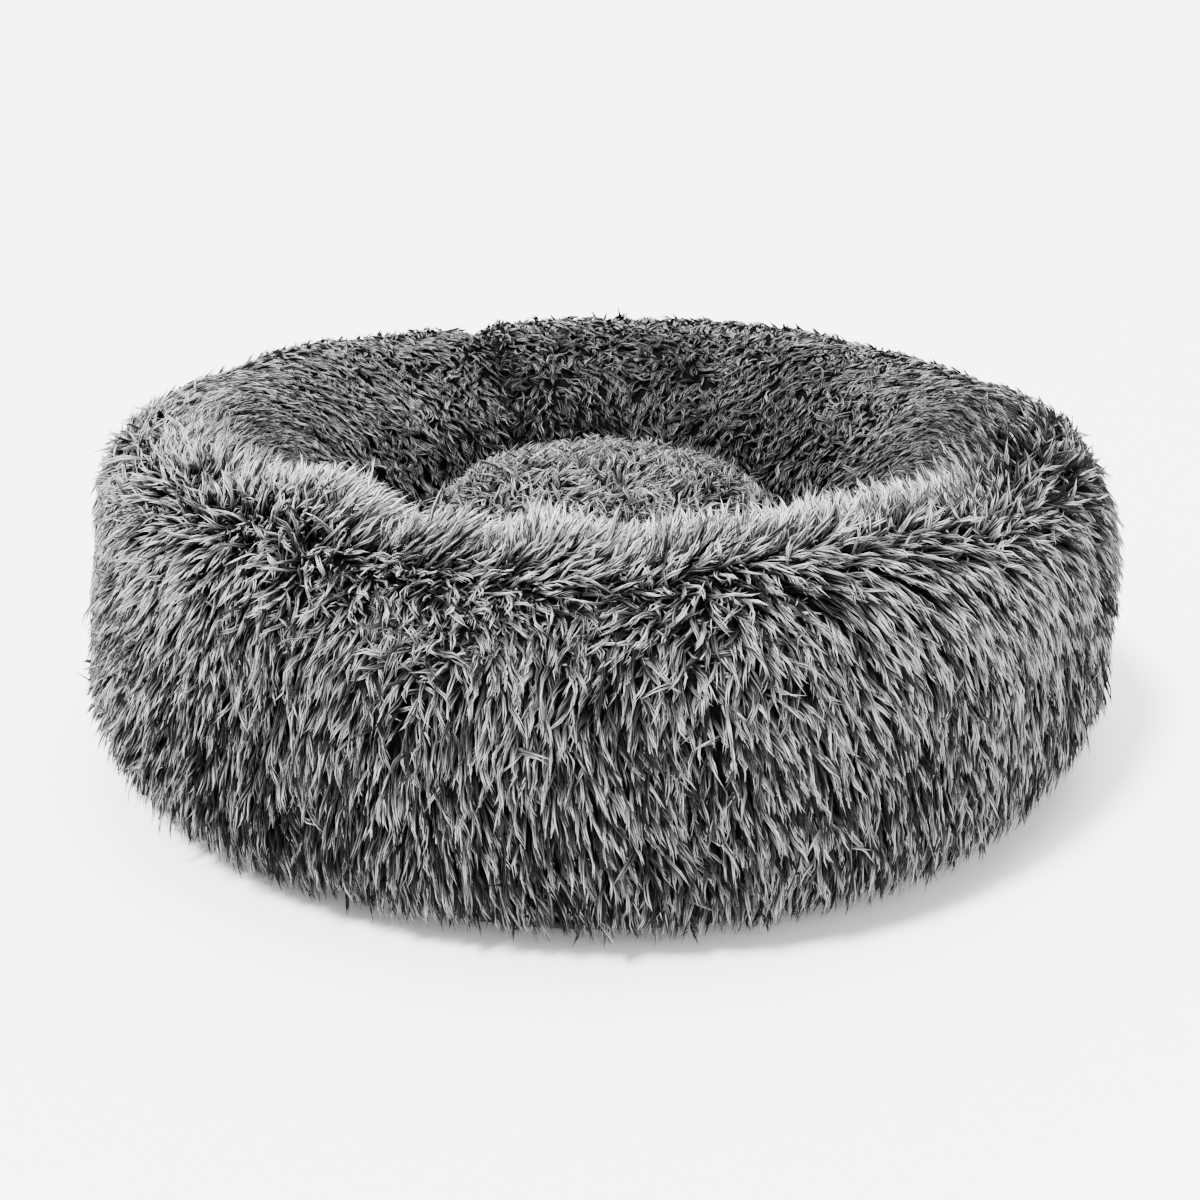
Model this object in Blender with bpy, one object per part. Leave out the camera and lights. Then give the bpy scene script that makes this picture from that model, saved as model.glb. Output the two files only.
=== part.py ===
"""Round pet bed: a faux-fur bolster ring with its fibre fill and liner, a lift-out domed cushion, and a
cloth base with a zipped gusset. Metres, +Z up, standing on z = 0 with its axis on Z and its front at -Y."""

import math

import bmesh
import bpy

# Bolster, as the backing of its fur: a tube section swept round Z
CREST_R, CREST_Z = 0.212, 0.178
BELLY_R, BELLY_Z = 0.280, 0.085
WELL_R, WELL_Z = 0.137, 0.060
TUBE_FLOOR_Z = 0.0035
OUTER_SQUARENESS, INNER_SQUARENESS = 2.5, 2.1
BOLSTER_PILE = 0.012
FUR_HEM_GAP = 0.0005
WELL_HEM_Z = 0.006

# Gusset between the base and the fur, a cone
GUSSET_LOW = (0.2440, 0.0060)
GUSSET_HIGH = (0.2640, 0.0320)
GUSSET_CLOTH = 0.0006
GUSSET_MARGIN = 0.0008

# Inner layers
LINER_GAP, LINER_CLOTH, FILL_GAP = 0.0006, 0.0007, 0.0005
GUSSET_CLEARANCE = 0.0042

# Base
BASE_R, BASE_CLOTH = 0.2436, 0.0015
BINDING = (0.2441, 0.2470, 0.0008, 0.0042)

# Cushion, as the backing of its fur
CUSHION_R, CUSHION_BELLY_Z = 0.113, 0.060
CUSHION_TOP_Z, CUSHION_FLOOR_Z = 0.143, 0.0030
CUSHION_FLAT_R = 0.084
CUSHION_SQUARENESS = 2.35
CUSHION_PILE = 0.011
CUSHION_CLOTH = 0.0008
CUSHION_SEAM_STEP = 3
NECK_R = 0.008

# Seams, in degrees round Z from +X, on a grid that every layer shares
SEAM_A, STEP = -23.0, 7.5
FRONT_STEPS, BACK_STEPS = 30, 18
SEAM_GAP = 0.0004
ZIP_FROM, ZIP_TO, ZIP_STEP = 52.0, 127.0, 2.5

# Zip section, across the gusset (along) and out from its cloth (out)
COIL_INNER, COIL_OUTER = 0.0006, 0.0026
COIL_LOW, COIL_HIGH = 0.0006, 0.0024
TAPE_HALF = 0.0003
COIL_END_DEG = 1.6

# Slider and pull tab
SLIDER_AT = 123.4
SLIDER_HALF_LENGTH, SLIDER_HALF_WIDTH = 0.0055, 0.0046
SLIDER_INNER_PLATE = (-0.0019, -0.0008)
SLIDER_OUTER_PLATE = (0.0028, 0.0039)
SLIDER_WEB_HALF = 0.00025
FLANGE_FROM, FLANGE_FOOT = 0.0031, 0.0008
BRIDGE_HALF_WIDTH, BRIDGE_HALF_LENGTH = 0.0012, 0.0030
BRIDGE_HOLE_HALF, BRIDGE_TOP = 0.0016, 0.0068
PIVOT_OUT = 0.0049
CROSSBAR_R = 0.0006
CHEEK = (0.0015, 0.0027)
TAB_FROM, TAB_TO = 0.0042, 0.0140
TAB_HALF_THICKNESS = 0.0006
STOP_HALF_LENGTH = 0.0010

# Care label
LABEL_FROM, LABEL_STEPS, LABEL_STEP = 29.5, 4, 1.875
LABEL = (0.2608, 0.2613, 0.0070, 0.0262)


# ---------------------------------------------------------------- shapes


def squared(angle, squareness):
    """(cos, sin) of a superellipse's quadrant."""
    power = 2 / squareness
    return math.cos(angle) ** power, math.sin(angle) ** power


def quadrant(centre, reach, squareness, steps, towards_axis=False):
    """Points from the widest one up to the top, which is left out."""
    points = []
    for i in range(steps):
        c, s = squared(i / steps * math.pi / 2, squareness)
        side = -1 if towards_axis else 1
        points.append((centre[0] + side * reach[0] * c, centre[1] + reach[1] * s))
    return points


def bolster_arch():
    """The fur backing, from the gusset's top over the crest and down to the well's floor."""
    low = GUSSET_HIGH[0] + 0.0005, GUSSET_HIGH[1] + FUR_HEM_GAP
    points = []
    for i in range(3):
        t = i / 3
        r = low[0] + (BELLY_R - low[0]) * math.sin(t * math.pi / 2)
        points.append((r, low[1] + (BELLY_Z - low[1]) * t))
    points += quadrant((CREST_R, BELLY_Z), (BELLY_R - CREST_R, CREST_Z - BELLY_Z), OUTER_SQUARENESS, 5)
    points.append((CREST_R, CREST_Z))
    inner = quadrant((CREST_R, WELL_Z), (CREST_R - WELL_R, CREST_Z - WELL_Z), INNER_SQUARENESS, 5, True)
    points += inner[::-1]
    points.append((WELL_R, (WELL_Z + WELL_HEM_Z) / 2))
    points.append((WELL_R, WELL_HEM_Z))
    return points


def cushion_arch():
    """The cushion's backing, from the middle of its floor round to its top."""
    points = [(0.0, CUSHION_FLOOR_Z), (CUSHION_FLAT_R, CUSHION_FLOOR_Z)]
    for i in range(1, 4):
        a = i / 4 * math.pi / 2
        r = CUSHION_FLAT_R + (CUSHION_R - CUSHION_FLAT_R) * math.sin(a)
        z = CUSHION_BELLY_Z - (CUSHION_BELLY_Z - CUSHION_FLOOR_Z) * math.cos(a)
        points.append((r, z))
    reach = CUSHION_R, CUSHION_TOP_Z - CUSHION_BELLY_Z
    points += quadrant((0.0, CUSHION_BELLY_Z), reach, CUSHION_SQUARENESS, 7)
    points.append((0.0, CUSHION_TOP_Z))
    return points


def moved_out(points, amounts, closed=False):
    """Each point moved to the right of the way the line runs, keeping each side parallel to itself."""
    if isinstance(amounts, (int, float)):
        amounts = [amounts] * len(points)
    count = len(points)
    result = []
    for i, (r, z) in enumerate(points):
        normals = []
        for a, b in ((i - 1, i), (i, i + 1)):
            if not closed and (a < 0 or b >= count):
                continue
            (r0, z0), (r1, z1) = points[a % count], points[b % count]
            length = math.hypot(r1 - r0, z1 - z0)
            normals.append(((z1 - z0) / length, (r0 - r1) / length))
        nr = sum(n[0] for n in normals) / len(normals)
        nz = sum(n[1] for n in normals) / len(normals)
        scale = amounts[i] / (nr * nr + nz * nz)
        result.append((max(r + nr * scale, 0.0), z + nz * scale))
    return result


def on_axis(points):
    """The same line with its end on the axis put back there."""
    return [(0.0, z) if i in (0, len(points) - 1) and r < 1e-3 else (r, z) for i, (r, z) in enumerate(points)]


def skin(line, inner, outer):
    """The closed section between two offsets of an open line."""
    return moved_out(line, inner) + moved_out(line, outer)[::-1]


def across(along, out):
    """(r, z) of a point given along the gusset's slope from its middle, and out from its cloth."""
    (r0, z0), (r1, z1) = GUSSET_LOW, GUSSET_HIGH
    length = math.hypot(r1 - r0, z1 - z0)
    ur, uz = (r1 - r0) / length, (z1 - z0) / length
    return (r0 + r1) / 2 + ur * along + uz * out, (z0 + z1) / 2 + uz * along - ur * out


def gusset_half():
    return math.dist(GUSSET_LOW, GUSSET_HIGH) / 2


def strip(along0, along1, out0, out1):
    """A rectangle of the gusset's section."""
    return [across(along0, out0), across(along1, out0), across(along1, out1), across(along0, out1)]


def rectangle(r0, r1, z0, z1):
    return [(r0, z0), (r1, z0), (r1, z1), (r0, z1)]


# ---------------------------------------------------------------- building


def material(name, colour, roughness, metallic=0.0):
    made = bpy.data.materials.new(name)
    made.use_nodes = True
    shader = made.node_tree.nodes["Principled BSDF"]
    shader.inputs["Base Color"].default_value = (*colour, 1.0)
    shader.inputs["Roughness"].default_value = roughness
    shader.inputs["Metallic"].default_value = metallic
    made.diffuse_color = (*colour, 1.0)
    return made


def add(name, bm, made_of, origin=(0.0, 0.0, 0.0)):
    """A node from a bmesh in world space, with its origin where it turns."""
    bmesh.ops.remove_doubles(bm, verts=bm.verts, dist=1e-6)
    bmesh.ops.recalc_face_normals(bm, faces=bm.faces)
    for vert in bm.verts:
        vert.co.x -= origin[0]
        vert.co.y -= origin[1]
        vert.co.z -= origin[2]
    mesh = bpy.data.meshes.new(name)
    bm.to_mesh(mesh)
    bm.free()
    mesh.materials.append(made_of)
    node = bpy.data.objects.new(name, mesh)
    node.location = origin
    bpy.context.scene.collection.objects.link(node)
    return node


def swept(name, section, made_of, angles, full=True):
    """A section swept round Z through the given angles, in degrees."""
    bm = bmesh.new()
    rings = []
    for degrees in angles:
        c, s = math.cos(math.radians(degrees)), math.sin(math.radians(degrees))
        rings.append([bm.verts.new((r * c, r * s, z)) for r, z in section])
    count = len(section)
    pairs = list(zip(rings, rings[1:] + rings[:1]))
    for here, there in pairs if full else pairs[:-1]:
        for i in range(count):
            j = (i + 1) % count
            if section[i][0] < 1e-9 and section[j][0] < 1e-9:
                continue
            bm.faces.new((here[i], here[j], there[j], there[i]))
    if not full:
        bm.faces.new(rings[0])
        bm.faces.new(rings[-1])
    bmesh.ops.remove_doubles(bm, verts=bm.verts, dist=1e-7)
    bmesh.ops.dissolve_degenerate(bm, edges=bm.edges, dist=1e-8)
    return add(name, bm, made_of)


def grid(first, steps, step=STEP, full=False, inset=0.0):
    """Angles on the shared grid; inset draws the two ends in, in degrees."""
    angles = [first + step * i for i in range(steps + (0 if full else 1))]
    if not full:
        angles[0] += inset
        angles[-1] -= inset
    return angles


class Local:
    """A frame on the zip at one angle: x along the zip, y across the gusset, z out of it."""

    def __init__(self, degrees):
        self.angle = math.radians(degrees)

    def world(self, x, y, z):
        r, height = across(y, z)
        c, s = math.cos(self.angle), math.sin(self.angle)
        return r * c - x * s, r * s + x * c, height


def box(bm, frame, x, y, z):
    """A box in the local frame, from ranges."""
    corners = [bm.verts.new(frame.world(a, b, c)) for c in z for b in y for a in x]
    for face in ((0, 1, 3, 2), (4, 5, 7, 6), (0, 1, 5, 4), (2, 3, 7, 6), (0, 2, 6, 4), (1, 3, 7, 5)):
        bm.faces.new([corners[i] for i in face])


def union(name, boxes, frame, made_of, origin=(0.0, 0.0, 0.0)):
    """One body from overlapping boxes."""
    parts = []
    for i, (x, y, z) in enumerate(boxes):
        bm = bmesh.new()
        box(bm, frame, x, y, z)
        parts.append(add(name if i == 0 else f"{name}_join_{i}", bm, made_of, origin))
    body = parts[0]
    for i, other in enumerate(parts[1:]):
        other.hide_render = True
        other.display_type = "WIRE"
        join = body.modifiers.new(f"join_{i}", "BOOLEAN")
        join.operation = "UNION"
        join.solver = "EXACT"
        join.object = other
    return body


def bolster(mats):
    """The fur panels, the liner and the fill of the ring."""
    arch = bolster_arch()
    cover = skin(arch, 0.0, BOLSTER_PILE)
    inset = math.degrees(SEAM_GAP / 2 / CREST_R)
    swept("bolster_fur_panel_back", cover, mats["fur"], grid(SEAM_A, BACK_STEPS, inset=inset), False)
    seam_b = SEAM_A + STEP * BACK_STEPS
    swept("bolster_fur_panel_front", cover, mats["fur"], grid(seam_b, FRONT_STEPS, inset=inset), False)

    tube = arch[:-1] + [(WELL_R, TUBE_FLOOR_Z), (GUSSET_LOW[0], TUBE_FLOOR_Z), GUSSET_LOW]
    gaps = [LINER_GAP] * len(tube)
    gaps[0] = gaps[-1] = gaps[-2] = GUSSET_CLEARANCE
    gaps[-2] = LINER_GAP
    outside = moved_out(tube, [-gap for gap in gaps], closed=True)
    inside = moved_out(outside, -LINER_CLOTH, closed=True)
    fill = moved_out(inside, -FILL_GAP, closed=True)
    # The liner's long seam runs round under the tube, where its two edges stop short of each other.
    cut = len(tube) - 3
    order = list(range(cut + 1, len(tube))) + list(range(cut + 1))
    middle = (WELL_R + GUSSET_LOW[0]) / 2
    lips = [(middle + 0.002, outside[cut][1]), (middle - 0.002, outside[cut][1])]
    inner_lips = [(middle + 0.002, inside[cut][1]), (middle - 0.002, inside[cut][1])]
    liner = [lips[0]] + [outside[i] for i in order] + [lips[1]]
    liner += [inner_lips[1]] + [inside[i] for i in reversed(order)] + [inner_lips[0]]
    around = grid(SEAM_A, FRONT_STEPS + BACK_STEPS, full=True)
    swept("bolster_liner", liner, mats["liner"], around)
    swept("bolster_fibre_fill", fill, mats["fibre"], around)


def cushion(mats):
    """The lift-out cushion: fur top, plain underside, liner and fill."""
    around = grid(SEAM_A, FRONT_STEPS + BACK_STEPS, full=True)
    arch = cushion_arch()
    top = arch[CUSHION_SEAM_STEP:]
    inner, outer = on_axis(moved_out(top, 0.0)), on_axis(moved_out(top, CUSHION_PILE))
    swept("cushion_fur_top", inner + outer[::-1], mats["fur"], around)
    floor = arch[:CUSHION_SEAM_STEP] + [tuple(0.96 * b + 0.04 * a for a, b in zip(arch[2], arch[3]))]
    inner, outer = on_axis(moved_out(floor, 0.0)), on_axis(moved_out(floor, CUSHION_CLOTH))
    swept("cushion_underside", inner + outer[::-1], mats["cloth"], around)
    outside = on_axis(moved_out(arch, -LINER_GAP))
    inside = on_axis(moved_out(arch, -LINER_GAP - LINER_CLOTH))
    fill = on_axis(moved_out(arch, -LINER_GAP - LINER_CLOTH - FILL_GAP))
    outside[0], inside[0] = (NECK_R, outside[0][1]), (NECK_R, inside[0][1])
    swept("cushion_liner", outside + inside[::-1], mats["liner"], around)
    swept("cushion_fibre_fill", fill, mats["fibre"], around)


def base(mats):
    """The base sheet, its bound seam, the gusset and the care label."""
    around = grid(SEAM_A, FRONT_STEPS + BACK_STEPS, full=True)
    swept("base_sheet", [(0.0, 0.0), (BASE_R, 0.0), (BASE_R, BASE_CLOTH), (0.0, BASE_CLOTH)], mats["cloth"], around)
    swept("base_seam_binding", rectangle(*BINDING), mats["binding"], around)
    half = gusset_half() - GUSSET_MARGIN
    band = strip(-half, half, -GUSSET_CLOTH / 2, GUSSET_CLOTH / 2)
    steps = FRONT_STEPS + BACK_STEPS - round((ZIP_TO - ZIP_FROM) / STEP)
    inset = math.degrees(SEAM_GAP / GUSSET_LOW[0])
    swept("base_gusset_band", band, mats["cloth"], grid(ZIP_TO, steps, inset=inset), False)
    swept("care_label", rectangle(*LABEL), mats["label"], grid(LABEL_FROM, LABEL_STEPS, LABEL_STEP), False)


def zipper(mats):
    """Tapes, coils, stops, slider and pull tab."""
    steps = round((ZIP_TO - ZIP_FROM) / ZIP_STEP)
    inset = math.degrees(SEAM_GAP / GUSSET_LOW[0])
    along = grid(ZIP_FROM, steps, ZIP_STEP, inset=inset)
    coil_along = grid(ZIP_FROM, steps, ZIP_STEP, inset=COIL_END_DEG * 0.6)
    half = gusset_half() - 2 * GUSSET_MARGIN
    for side, name in ((-1, "lower"), (1, "upper")):
        tape = strip(side * COIL_INNER, side * half, -TAPE_HALF, TAPE_HALF)
        swept(f"zip_tape_{name}", tape, mats["tape"], along, False)
        coil = strip(side * COIL_INNER, side * COIL_OUTER, COIL_LOW, COIL_HIGH)
        swept(f"zip_coil_{name}", coil, mats["coil"], coil_along, False)

    frame = Local(SLIDER_AT)
    length = (-SLIDER_HALF_LENGTH, SLIDER_HALF_LENGTH)
    width = (-SLIDER_HALF_WIDTH, SLIDER_HALF_WIDTH)
    leg = (SLIDER_OUTER_PLATE[1] - 0.0004, BRIDGE_TOP - 0.0002)
    bridge_width = (-BRIDGE_HALF_WIDTH, BRIDGE_HALF_WIDTH)
    boxes = [
        (length, width, SLIDER_OUTER_PLATE),
        ((length[0] + 0.0004, length[1] - 0.0004), width, SLIDER_INNER_PLATE),
        (
            (length[0] + 0.0008, length[1] - 0.0008),
            (-SLIDER_WEB_HALF, SLIDER_WEB_HALF),
            (SLIDER_INNER_PLATE[0] + 0.0004, SLIDER_OUTER_PLATE[1] - 0.0004),
        ),
    ]
    for side in (-1, 1):
        flange = sorted((side * FLANGE_FROM, side * (SLIDER_HALF_WIDTH - 0.0002)))
        boxes.append(((length[0] + 0.0003, length[1] - 0.0003), flange, (FLANGE_FOOT, 0.0033)))
        post = sorted((side * BRIDGE_HOLE_HALF, side * BRIDGE_HALF_LENGTH))
        boxes.append((post, bridge_width, leg))
    over = (-BRIDGE_HALF_LENGTH - 0.0002, BRIDGE_HALF_LENGTH + 0.0002)
    wide = (-BRIDGE_HALF_WIDTH - 0.0001, BRIDGE_HALF_WIDTH + 0.0001)
    boxes.append((over, wide, (PIVOT_OUT + 0.0010, BRIDGE_TOP)))
    union("zip_slider", boxes, frame, mats["metal"])

    pivot = frame.world(0.0, 0.0, PIVOT_OUT)
    bar = (-CROSSBAR_R, CROSSBAR_R)
    boxes = [(bar, (-CHEEK[1], CHEEK[1]), (PIVOT_OUT - CROSSBAR_R, PIVOT_OUT + CROSSBAR_R))]
    for side in (-1, 1):
        cheek = sorted((side * CHEEK[0], side * (CHEEK[1] + 0.0001)))
        reach = (PIVOT_OUT - CROSSBAR_R - 0.0001, PIVOT_OUT + TAB_FROM + 0.0006)
        boxes.append(((-CROSSBAR_R - 0.0001, CROSSBAR_R + 0.0001), cheek, reach))
    plate = (-TAB_HALF_THICKNESS - 0.0002, TAB_HALF_THICKNESS + 0.0002)
    boxes.append((plate, (-CHEEK[1] - 0.0004, CHEEK[1] + 0.0004), (PIVOT_OUT + TAB_FROM, PIVOT_OUT + TAB_TO)))
    union("zip_pull_tab", boxes, frame, mats["metal"], pivot)

    for name, degrees in (("closed", ZIP_TO - COIL_END_DEG * 0.3), ("open", ZIP_FROM + COIL_END_DEG * 0.3)):
        bm = bmesh.new()
        span = (-STOP_HALF_LENGTH * 0.6, STOP_HALF_LENGTH * 0.6)
        box(bm, Local(degrees), span, (-COIL_OUTER, COIL_OUTER), (COIL_LOW, COIL_HIGH + 0.0002))
        add(f"zip_stop_{name}", bm, mats["metal"])


def main():
    for old in list(bpy.data.objects):
        bpy.data.objects.remove(old)
    mats = {
        "fur": material("grey_shag_fur", (0.24, 0.24, 0.24), 0.9),
        "liner": material("white_nonwoven", (0.78, 0.78, 0.76), 0.95),
        "fibre": material("polyester_fibre", (0.86, 0.86, 0.85), 0.98),
        "cloth": material("dark_oxford_cloth", (0.06, 0.06, 0.065), 0.85),
        "binding": material("binding_tape", (0.045, 0.045, 0.05), 0.9),
        "tape": material("zip_tape", (0.05, 0.05, 0.055), 0.9),
        "coil": material("nylon_coil", (0.04, 0.04, 0.045), 0.45),
        "metal": material("slider_metal", (0.42, 0.42, 0.43), 0.35, 1.0),
        "label": material("satin_label", (0.80, 0.80, 0.78), 0.5),
    }
    bolster(mats)
    cushion(mats)
    base(mats)
    zipper(mats)


main()
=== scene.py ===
import math

import bmesh
import bpy
import numpy as np
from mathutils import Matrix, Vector


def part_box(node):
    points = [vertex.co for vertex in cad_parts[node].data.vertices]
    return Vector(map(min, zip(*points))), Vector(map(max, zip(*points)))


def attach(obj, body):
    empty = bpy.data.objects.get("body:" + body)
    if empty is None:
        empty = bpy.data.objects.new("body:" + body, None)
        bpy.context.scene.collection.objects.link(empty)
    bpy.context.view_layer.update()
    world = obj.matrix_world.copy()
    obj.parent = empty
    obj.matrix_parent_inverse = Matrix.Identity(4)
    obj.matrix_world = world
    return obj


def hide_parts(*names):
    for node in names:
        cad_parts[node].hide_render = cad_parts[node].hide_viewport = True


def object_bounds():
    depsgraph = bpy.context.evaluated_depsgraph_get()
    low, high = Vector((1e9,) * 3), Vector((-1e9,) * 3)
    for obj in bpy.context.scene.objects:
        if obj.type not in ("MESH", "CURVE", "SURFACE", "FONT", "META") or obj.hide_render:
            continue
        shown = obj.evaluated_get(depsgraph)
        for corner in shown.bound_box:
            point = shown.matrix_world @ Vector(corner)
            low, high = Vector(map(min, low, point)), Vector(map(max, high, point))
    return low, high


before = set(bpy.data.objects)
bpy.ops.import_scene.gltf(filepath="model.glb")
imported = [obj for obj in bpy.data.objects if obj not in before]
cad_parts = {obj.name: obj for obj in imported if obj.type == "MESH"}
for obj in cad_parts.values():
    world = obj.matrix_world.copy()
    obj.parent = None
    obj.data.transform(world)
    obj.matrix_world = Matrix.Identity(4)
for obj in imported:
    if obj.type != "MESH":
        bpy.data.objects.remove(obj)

size_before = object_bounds()
RNG = np.random.default_rng(41)

# ---------------------------------------------------------------- sizes, metres and degrees

# The ring's backing in (r, z): the crest is its highest line and the belly its widest.
CREST_R, CREST_Z = 0.223, 0.180
BELLY_R, BELLY_Z = 0.2840, 0.074
WELL_R, WELL_Z = 0.138, 0.060
HEM = (0.2670, 0.0310)
WELL_FLOOR_Z = 0.006
TUBE_FLOOR_Z = 0.0040
GUSSET_LOW, GUSSET_HIGH = (0.2440, 0.0060), (0.2640, 0.0320)

# The two seams of the fur, where they stand and how deep they sink, and the ends of the zip.
SEAMS, SEAM_DEPTHS = (-23.0, 112.0), (0.0140, 0.0060)
ZIP_FROM, ZIP_TO = 52.0, 127.0

# Gathers across the rim: where, how deep and how wide. A negative depth is a swell.
PLEATS = (
    (-143, 0.015, 0.010),
    (-129, -0.007, 0.020),
    (-116, 0.010, 0.007),
    (-104, 0.006, 0.011),
    (-96, -0.004, 0.012),
    (-86, 0.004, 0.014),
    (-64, -0.003, 0.030),
    (-36, 0.006, 0.020),
)

CUSHION_R, CUSHION_BELLY_Z = 0.116, 0.062
CUSHION_TOP_Z, CUSHION_FLOOR_Z, CUSHION_FLAT_R = 0.153, 0.0032, 0.084
BACKING = 0.0015  # the knitted backing's thickness

LOCK_GAP, SHORT_GAP = 0.0036, 0.0032  # between the roots of long locks, and of short ones
SECTOR = 15.0  # degrees of the ring in one piece of pile
TONES = 24  # bands of tone in the pile's map
FLOOR_GAP = 0.0006  # under the lowest strand
CEILING = size_before[1][2] * 1.03 + 0.0090  # over the highest strand
CEILING_EASE = 0.010  # the depth over which strands flatten out below the ceiling


# ---------------------------------------------------------------- noise and vectors

AXIS_PRIMES = np.array([73856093, 19349663, 83492791], np.uint64)
SEED_PRIME, FIRST_MIX, SECOND_MIX = 2654435761, np.uint64(2246822519), np.uint64(3266489917)
LOW_32 = np.uint64(0xFFFFFFFF)


def noise(points, scale, seed):
    """Smooth value noise from -1 to 1 at each point."""
    q = points / scale + 137.0
    cell = np.floor(q).astype(np.int64)
    f = q - cell
    w = f * f * (3 - 2 * f)
    total = np.zeros(len(points))
    for corner in range(8):
        step = np.array([corner & 1, corner >> 1 & 1, corner >> 2 & 1])
        c = (cell + step).astype(np.uint64) * AXIS_PRIMES
        mixed = (c[:, 0] ^ c[:, 1] ^ c[:, 2] ^ np.uint64(seed * SEED_PRIME % 2**32)) & LOW_32
        mixed = mixed * FIRST_MIX & LOW_32
        mixed = (mixed ^ (mixed >> np.uint64(15))) * SECOND_MIX & LOW_32
        value = (mixed ^ (mixed >> np.uint64(13))).astype(float) / 2**32
        total += value * np.where(step, w, 1 - w).prod(1)
    return total * 2 - 1


def unit(v):
    return v / np.maximum(np.linalg.norm(v, axis=-1, keepdims=True), 1e-9)


def smooth(x, low, high):
    """0 up to low, 1 from high on, and an even ease between them."""
    t = np.clip((x - low) / (high - low), 0, 1)
    return t * t * (3 - 2 * t)


def window(x, start, full, fade, end):
    """1 from full to fade, and 0 before start and past end."""
    return smooth(x, start, full) * (1 - smooth(x, fade, end))


def bell(x, wide):
    """1 at zero, falling off on both sides."""
    return np.exp(-((x / wide) ** 2))


def turned(degrees, place):
    """Signed angle from a place on the ring, in degrees, from -180 to 180."""
    return (degrees - place + 180) % 360 - 180


# ---------------------------------------------------------------- lines and surfaces


class Line:
    """A section line in (r, z), read by its share of length, with its outward normal."""

    def __init__(self, points):
        p = np.array(points, float)
        gaps = np.linalg.norm(np.diff(p, axis=0), axis=1)
        self.share = np.concatenate([[0], np.cumsum(gaps)]) / gaps.sum()
        self.length = gaps.sum()
        self.points = p
        self.fine = np.linspace(0, 1, 400)
        # The directions are averaged over a few samples, so that a corner turns gradually.
        kernel = np.hanning(9)[1:-1]
        kernel /= kernel.sum()
        reach = len(kernel) // 2
        ways = np.gradient(self.at(self.fine), axis=0).T
        ways = [np.convolve(np.pad(w, reach, "edge"), kernel, "valid") for w in ways]
        tangent = unit(np.stack(ways, 1))
        self.normals = np.stack([tangent[:, 1], -tangent[:, 0]], 1)

    def at(self, s):
        return np.stack([np.interp(s, self.share, self.points[:, i]) for i in (0, 1)], -1)

    def normal(self, s):
        return unit(np.stack([np.interp(s, self.fine, self.normals[:, i]) for i in (0, 1)], -1))


def quarter(centre, reach, squareness, inwards=False, count=60):
    """A quarter of a superellipse in (r, z), from its side to its top."""
    a = np.linspace(0, math.pi / 2, count)
    c, s = np.cos(a) ** (2 / squareness), np.sin(a) ** (2 / squareness)
    side = -1 if inwards else 1
    return np.stack([centre[0] + side * reach[0] * c, centre[1] + reach[1] * s], 1)


def ring_line():
    """The bolster's backing, from its hem over the crest to the well's floor."""
    t = np.linspace(0, 1, 20, endpoint=False)
    swell = np.sin(t * math.pi / 2) ** 0.8
    low = np.stack([HEM[0] + (BELLY_R - HEM[0]) * swell, HEM[1] + (BELLY_Z - HEM[1]) * t], 1)
    outer = quarter((CREST_R, BELLY_Z), (BELLY_R - CREST_R, CREST_Z - BELLY_Z), 2.85)
    inner = quarter((CREST_R, WELL_Z), (CREST_R - WELL_R, CREST_Z - WELL_Z), 2.1, True)
    return Line(np.concatenate([low, outer, inner[::-1][1:], [(WELL_R, WELL_FLOOR_Z)]]))


def dome_line():
    """The cushion's backing, from its low seam to its top."""
    a = np.linspace(0.45, math.pi / 2, 20, endpoint=False)
    r = CUSHION_FLAT_R + (CUSHION_R - CUSHION_FLAT_R) * np.sin(a)
    z = CUSHION_BELLY_Z - (CUSHION_BELLY_Z - CUSHION_FLOOR_Z) * np.cos(a)
    top = quarter((0, CUSHION_BELLY_Z), (CUSHION_R, CUSHION_TOP_Z - CUSHION_BELLY_Z), 2.35)
    return Line(np.concatenate([np.stack([r, z], 1), top]))


RING, DOME = ring_line(), dome_line()
# The crest's share of the ring's line, read on the inner wall.
CREST_S = float(np.interp(CREST_R, RING.points[::-1, 0][:60], RING.share[::-1][:60]))


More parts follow.
